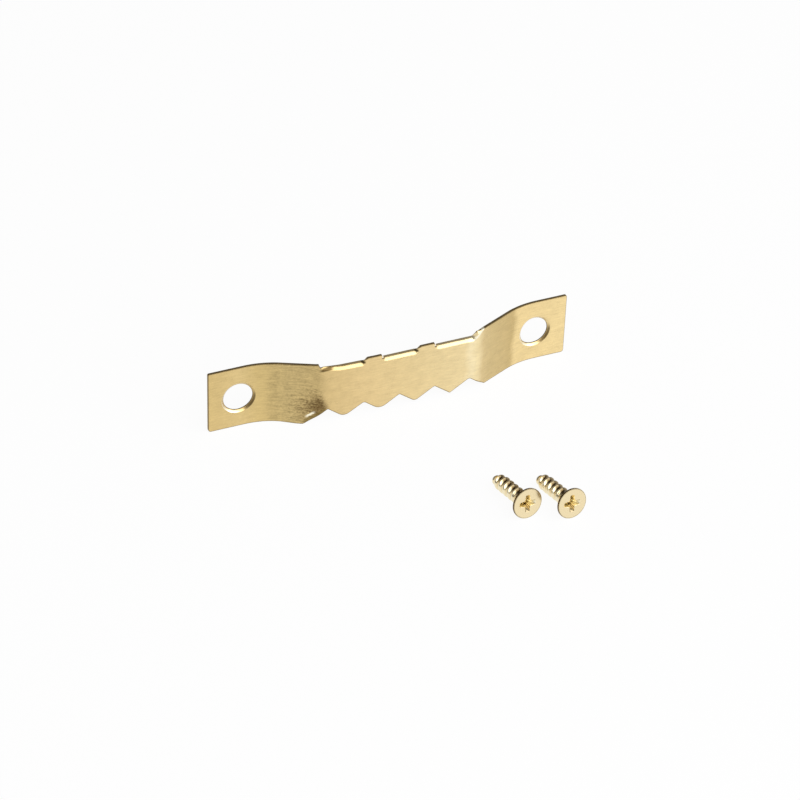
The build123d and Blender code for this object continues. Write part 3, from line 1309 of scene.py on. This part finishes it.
@dataclass
class WoodScrew:
    """A countersunk wood screw with a cross recess, lying on the table."""

    node: str
    # Head
    head_diameter: float = 4.95
    head_rim: float = 0.3
    # The round of its upper edge: shares of the radius in and down, and its marks of painted shade
    edge_round: float = 0.07
    edge_steps: tuple[tuple[float, float, float], ...] = (
        (1.0, 0.0, 0.5),
        (0.6, 0.08, 0.8),
        (0.29, 0.29, 1.0),
        (0.08, 0.6, 1.0),
        (0.0, 1.0, 1.0),
    )
    face_margin: float = 0.06
    # The break of its lower edge, and the cone's first step
    low_break: float = 0.04
    cone_flare: float = 0.07
    # Neck, and how the cone runs into it
    neck_diameter: float = 2.0
    neck_flare: float = 0.25
    neck_run: float = 0.12
    # Thread, with the crest's half width and the flank's width as shares of the pitch
    length: float = 9.1
    thread_diameter: float = 2.5
    root_diameter: float = 1.8
    pitch: float = 1.25
    phase: float = -0.18
    crest_half: float = 0.05
    flank: float = 0.26
    # How far past the neck, and how far short of the end, the thread is flat, and over what
    # length it rises from there; and the length over which the shank leaves the neck
    fade_in: tuple[float, float] = (-0.1, 0.7)
    fade_out: tuple[float, float] = (-0.15, 0.4)
    shank_ease: float = 0.3
    # Point: the power and the depth of the root's and the crest's taper
    point_length: float = 1.7
    root_taper: tuple[float, float] = (1.3, 0.32)
    crest_taper: tuple[float, float] = (1.2, 0.42)
    tip_round: float = 0.15
    tip_share: float = 0.9
    tip_rings: int = 5
    # Cross recess. Its arms' narrowing and rounds are shares of their half width
    recess_span: float = 2.8
    recess_width: float = 0.8
    recess_depth: float = 1.2
    recess_floor_share: float = 0.45
    recess_floor_drop: float = 0.2
    recess_turn: float = math.radians(-5)
    arm_narrowing: float = 0.85
    arm_round: float = 0.5
    inner_corner: float = 1.15
    inner_round: float = 0.4
    recess_spacing: float = 0.12
    recess_break: float = 0.05
    recess_ease: float = 0.3
    recess_top: float = 0.15
    recess_rings: int = 6
    # The shank's painted shade on its upper side: its direction about the axis, the cosine where it
    # fades in and the range over which it does, how much lighter the ridges are there, and the
    # roots' painted shade elsewhere, where the ridges get a painted highlight
    dark_side: float = math.radians(68)
    dark_side_edge: tuple[float, float] = (0.4, 0.4)
    ridge_light: float = 0.35
    root_dark: float = 0.1
    # The rim's painted shade: its direction, its spread, and the least mark
    dark_rim: float = math.radians(135)
    dark_rim_spread: float = 0.55
    least_dark: float = 0.1
    # The recess's marks, painted shade in its lower arm and painted light elsewhere,
    # at its eased edge, its edge and its walls
    lower_arm: float = -0.38
    recess_marks: tuple[tuple[float, float], ...] = ((0.5, -0.2), (0.6, -0.5), (0.45, -0.65))
    # Placing and mesh
    yaw: float = math.radians(7)
    sides: int = 72
    ring_step: float = 0.05

    def tilt(self) -> float:
        """The angle at which the screw lies on its head's rim and its thread."""
        contact = self.length - self.point_length - self.head_rim
        return math.atan2((self.head_diameter - self.thread_diameter) / 2, contact)

    def placing(self) -> Matrix:
        """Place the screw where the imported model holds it.

        Returns:
            The place of the head's face, with its outward direction along the draft's Z.
        """
        low, high = (Vector(corner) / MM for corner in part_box(self.node))
        tilt, radius = self.tilt(), self.head_diameter / 2
        facing = Vector((0, -math.cos(tilt), math.sin(tilt)))
        facing.rotate(Matrix.Rotation(self.yaw, 3, "Z"))
        sideways = Vector((math.cos(self.yaw), math.sin(self.yaw), 0))
        upward = facing.cross(sideways)
        spot = Vector(
            (
                (low.x + high.x) / 2 + self.head_rim / 2 * facing.x,
                low.y + radius * math.sqrt(1 - facing.y**2),
                low.z + radius * math.cos(tilt) + self.head_rim * math.sin(tilt),
            )
        )
        axes = Matrix((sideways, upward, facing)).transposed().to_4x4()
        return Matrix.Translation(spot) @ axes

    def cross(self) -> Points:
        """Draw the recess's outline, a quarter turn four times.

        Returns:
            The outline's points, clockwise.
        """
        reach, half = self.recess_span / 2, self.recess_width / 2
        corners = []
        for quarter in range(4):
            turn = self.recess_turn + quarter * math.pi / 2
            for x, y, radius in (
                (reach, -half * self.arm_narrowing, half * self.arm_round),
                (reach, half * self.arm_narrowing, half * self.arm_round),
                (half * self.inner_corner, half * self.inner_corner, half * self.inner_round),
            ):
                across = x * math.cos(turn) - y * math.sin(turn)
                up = x * math.sin(turn) + y * math.cos(turn)
                corners.append(Corner(across, up, radius))
        return divided(rounded(corners), self.recess_spacing)[::-1]

    def angles(self) -> Points:
        """The turn of each side about the screw's axis."""
        return np.linspace(0, TURN, self.sides, endpoint=False)

    def ring(self, radius: Points | float, depth: Points | float) -> Points:
        """Draw a ring about the screw's axis.

        Args:
            radius: Its radius, or one for each side.
            depth: Its distance below the head's face, or one for each side.

        Returns:
            The ring's points, anticlockwise seen from the head.
        """
        angles = self.angles()
        flat = np.stack([np.cos(angles), np.sin(angles)], axis=1) * np.reshape(radius, (-1, 1))
        return np.column_stack([flat, np.broadcast_to(-np.asarray(depth, float), (self.sides,))])

    def thread(self, depth: float, neck_end: float) -> tuple[Points, Points]:
        """Find the shank's radius round one ring, and its painted shade and highlight.

        Args:
            depth: The ring's distance below the head's face.
            neck_end: Where the shank starts.

        Returns:
            The radius and the mark at each side.
        """
        angles = self.angles()
        taper = np.clip((depth - (self.length - self.point_length)) / self.point_length, 0, 1)
        root = self.root_diameter / 2 - taper ** self.root_taper[0] * self.root_taper[1]
        crest = self.thread_diameter / 2 - taper ** self.crest_taper[0] * self.crest_taper[1]
        turns = (depth / self.pitch + angles / TURN + self.phase) % 1.0
        ridge = np.clip(1 - (np.abs(turns - 0.5) - self.crest_half) / self.flank, 0, 1)
        ridge = ridge * ridge * (3 - 2 * ridge)
        fade = np.clip((depth - neck_end - self.fade_in[0]) / self.fade_in[1], 0, 1)
        fade *= np.clip((self.length - depth - self.fade_out[0]) / self.fade_out[1], 0, 1)
        # Painted shade on the upper side; elsewhere shaded roots and painted highlights on the
        # ridges
        facing = np.cos(angles - self.dark_side) - self.dark_side_edge[0]
        upper = np.clip(facing / self.dark_side_edge[1], 0, 1)
        mark = upper * (1 - ridge * self.ridge_light) + (1 - upper) * (self.root_dark - ridge)
        return root + (crest - root) * ridge * fade, mark

    def profile(self, cone_end: float) -> list[tuple[float, float, float]]:
        """Section the head and the neck from the face down.

        Args:
            cone_end: Where the cone meets the neck, below the face.

        Returns:
            The radius, the distance below the face and the mark of painted shade at each ring.
        """
        radius, neck, soft = self.head_diameter / 2, self.neck_diameter / 2, self.edge_round
        rim, flare = self.head_rim, self.cone_flare
        return [
            (radius - soft - self.face_margin, 0.0, 0.0),
            *((radius - soft * i, soft * depth, mark) for i, depth, mark in self.edge_steps),
            (radius, rim - self.low_break, 1.0),
            (radius - self.low_break / 2, rim + self.low_break / 4, 1.0),
            (radius - flare, rim + flare, 0.7),
            ((radius + neck) / 2, (rim + cone_end) / 2, 0.2),
            (neck + self.neck_flare, cone_end - self.neck_flare, 0.4),
            (neck + self.neck_flare * 0.4, cone_end - self.neck_run / 2, 0.5),
            (neck, cone_end + self.neck_run, 0.3),
        ]

    def shank(self, draft: MeshDraft) -> tuple[Points, Points]:
        """Draw the head's cone, the neck, the thread and the point.

        Args:
            draft: The mesh so far, which gets them.

        Returns:
            The face's outer ring, and its vertices' numbers.
        """
        neck = self.neck_diameter / 2
        cone_end = self.head_rim + self.head_diameter / 2 - neck
        profile = self.profile(cone_end)
        # Painted shade on the rim and the cone, strongest on the dark_rim side
        dark = np.cos(self.angles() - self.dark_rim) + self.dark_rim_spread
        dark = np.clip(dark, self.least_dark, 1)
        rings = [draft.add(self.ring(r, d), mark * dark) for r, d, mark in profile]
        start, end = cone_end + self.neck_run, self.length - self.tip_round
        for depth in np.arange(start + self.ring_step, end, self.ring_step):
            radius, mark = self.thread(depth, cone_end)
            near = np.clip((depth - start) / self.shank_ease, 0, 1)
            rings.append(draft.add(self.ring(neck + (radius - neck) * near, depth), mark))
        last, mark = self.thread(end, cone_end)
        for share in np.linspace(0, self.tip_share, self.tip_rings):
            shrink = math.sqrt(1 - share**2)
            ring = self.ring(last * shrink, end + self.tip_round * share)
            rings.append(draft.add(ring, mark))
        for outer, inner in zip(rings, rings[1:]):
            draft.bridge(inner, outer)
        tip = draft.add(np.array([(0.0, 0.0, -self.length)]))[0]
        draft.fan(rings[-1][::-1], tip)
        return self.ring(profile[0][0], 0.0)[:, :2], rings[0]

    def recess(self, draft: MeshDraft) -> tuple[Points, Points]:
        """Sink the cross recess.

        Args:
            draft: The mesh so far, which gets its walls and floor.

        Returns:
            The recess's mouth in the face, and its vertices' numbers.
        """
        cross = self.cross()
        mouth = cross + outward(cross[::-1])[::-1] * self.recess_break
        eased = cross + (mouth - cross) * self.recess_ease
        # Painted shade in the lower arm, painted light elsewhere in the recess
        below = cross[:, 1] < self.recess_span * self.lower_arm
        marks = [np.where(below, *pair) for pair in self.recess_marks]
        levels = [
            (mouth, 0.0, 0.0),
            (eased, self.recess_break * self.recess_ease, marks[0]),
            (cross, self.recess_break, marks[1]),
        ]
        for share in np.linspace(self.recess_top, 1, self.recess_rings):
            scale = 1 + (self.recess_floor_share - 1) * share
            levels.append((cross * scale, self.recess_depth * share, marks[2]))
        walls = [
            draft.add(np.column_stack([flat, np.full(len(flat), -depth)]), mark)
            for flat, depth, mark in levels
        ]
        for upper, lower in zip(walls, walls[1:]):
            draft.bridge(upper, lower)
        floor = np.array([(0.0, 0.0, -self.recess_depth - self.recess_floor_drop)])
        draft.fan(walls[-1], draft.add(floor, self.recess_marks[-1][1])[0])
        return mouth, walls[0]

    def build(self, name: str) -> bpy.types.Object:
        """Build the screw's mesh.

        Args:
            name: The piece's name.

        Returns:
            The piece.
        """
        draft = MeshDraft()
        face, face_numbers = self.shank(draft)
        mouth, mouth_numbers = self.recess(draft)
        numbers = np.concatenate([face_numbers, mouth_numbers])
        for triangle in filled([face, mouth], np.zeros((0, 2))):
            draft.faces.append(tuple(numbers[list(triangle)]))
        return draft.piece(name, self.placing())

    def make(self, plating: bpy.types.Material) -> bpy.types.Object:
        """Build the screw and dress it.

        Args:
            plating: The material that both screws share.

        Returns:
            The finished piece.
        """
        piece = self.build(f"{self.node}_threaded")
        piece.data.materials.append(plating)
        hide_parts(self.node)
        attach(piece, self.node)
        return piece


@dataclass
class Studio:
    """A white table under a soft box, in a dim room."""

    # Camera
    aim: tuple[float, float, float] = (-1.93, -9.71, 0.0)
    azimuth: float = math.radians(-24.01)
    elevation: float = math.radians(37.18)
    roll: float = math.radians(2.12)
    distance: float = 499.4
    lens: float = 145.89
    sensor: float = 36.0
    clip_m: tuple[float, float] = (0.01, 20.0)
    # Table: how far it reaches and lies below the hanger, its grey, and its plain white share
    table_half: float = 3000.0
    table_gap: float = 0.02
    paper: float = 0.95
    plain_white: float = 0.94
    # Room: its strength overhead and at the horizon, and the heights between which it changes
    room: float = 0.25
    horizon: float = 1.0
    horizon_rise: tuple[float, float] = (0.32, 0.12)
    # Soft box
    lamp_place: tuple[float, float, float] = (196.0, -423.0, 378.0)
    lamp_size: tuple[float, float] = (1000.0, 860.0)
    lamp_watts: float = 5.5

    def camera(self) -> None:
        """Set up the camera where the photograph was taken from."""
        around, up = self.azimuth, self.elevation
        back = Vector(
            (math.sin(around) * math.cos(up), -math.cos(around) * math.cos(up), math.sin(up))
        )
        data = bpy.data.cameras.new("photo_camera")
        data.lens, data.sensor_width = self.lens, self.sensor
        data.clip_start, data.clip_end = self.clip_m
        made = bpy.data.objects.new("photo_camera", data)
        bpy.context.scene.collection.objects.link(made)
        right = Vector((math.cos(around), math.sin(around), 0))
        level = Matrix((right, back.cross(right), back)).transposed()
        turned = level @ Matrix.Rotation(self.roll, 3, "Z")
        place = (Vector(self.aim) + back * self.distance) * MM
        made.matrix_world = Matrix.Translation(place) @ turned.to_4x4()
        bpy.context.scene.camera = made

    def table(self) -> None:
        """Lay the white table under the hanger."""
        half = self.table_half * MM
        height = CAD_BOX[0].z - self.table_gap * MM
        mesh = bpy.data.meshes.new("white_table")
        sides = [(-half, -half), (half, -half), (half, half), (-half, half)]
        mesh.from_pydata([(x, y, height) for x, y in sides], [], [(0, 1, 2, 3)])
        made = bpy.data.objects.new("white_table", mesh)
        bpy.context.scene.collection.objects.link(made)
        paper = bpy.data.materials.new("white_paper")
        graph = Graph(paper)
        path = graph.node("ShaderNodeLightPath", output="Is Camera Ray")
        seen = path + path.output("Is Glossy Ray") + path.output("Is Transmission Ray")
        matt = graph.node("ShaderNodeBsdfDiffuse", None, {"Color": (self.paper,) * 3})
        glow = graph.node("ShaderNodeEmission", None, {"Color": (1.0, 1.0, 1.0), "Strength": 1.0})
        shares = {0: seen * self.plain_white, 1: matt, 2: glow}
        graph.surface(graph.node("ShaderNodeMixShader", None, shares))
        mesh.materials.append(paper)

    def lamp(self) -> None:
        """Hang the soft box, which points at the hanger."""
        data = bpy.data.lights.new("soft_box", "AREA")
        data.shape = "RECTANGLE"
        data.size, data.size_y = (side * MM for side in self.lamp_size)
        data.energy = self.lamp_watts
        made = bpy.data.objects.new("soft_box", data)
        bpy.context.scene.collection.objects.link(made)
        made.location = Vector(self.lamp_place) * MM
        made.rotation_mode = "QUATERNION"
        made.rotation_quaternion = Vector(self.lamp_place).to_track_quat("Z", "Y")
        made.visible_camera = False

    def world(self) -> None:
        """Make the room: bright at the horizon and dim above it."""
        made = bpy.data.worlds.new("dim_room")
        bpy.context.scene.world = made
        graph = Graph(made)
        way = graph.node("ShaderNodeTexCoord", output="Generated")
        height = graph.node("ShaderNodeSeparateXYZ", None, {"Vector": way}).output("Z")
        low = height.rise(*self.horizon_rise)
        strength = self.room + low * (self.horizon - self.room)
        values = {"Color": (1.0, 1.0, 1.0), "Strength": strength}
        graph.surface(graph.node("ShaderNodeBackground", None, values), "ShaderNodeOutputWorld")

    def make(self) -> None:
        """Set up the camera, the table, the lamp and the room."""
        self.camera()
        self.table()
        self.lamp()
        self.world()
        bpy.context.scene.view_settings.view_transform = "Standard"


def main() -> None:
    """Build the studio, the strip and the screws, and log their face counts."""
    logging.basicConfig(level=logging.INFO, format="%(message)s")
    Studio().make()
    LOG.info("studio ready")
    strip = HangerStrip().make()
    LOG.info("%s: %d faces", strip.name, len(strip.data.polygons))
    plating = ScrewPlating().material()
    for node in ("left_screw", "right_screw"):
        screw = WoodScrew(node=node).make(plating)
        LOG.info("%s: %d faces", screw.name, len(screw.data.polygons))


if __name__ == "__main__":
    main()
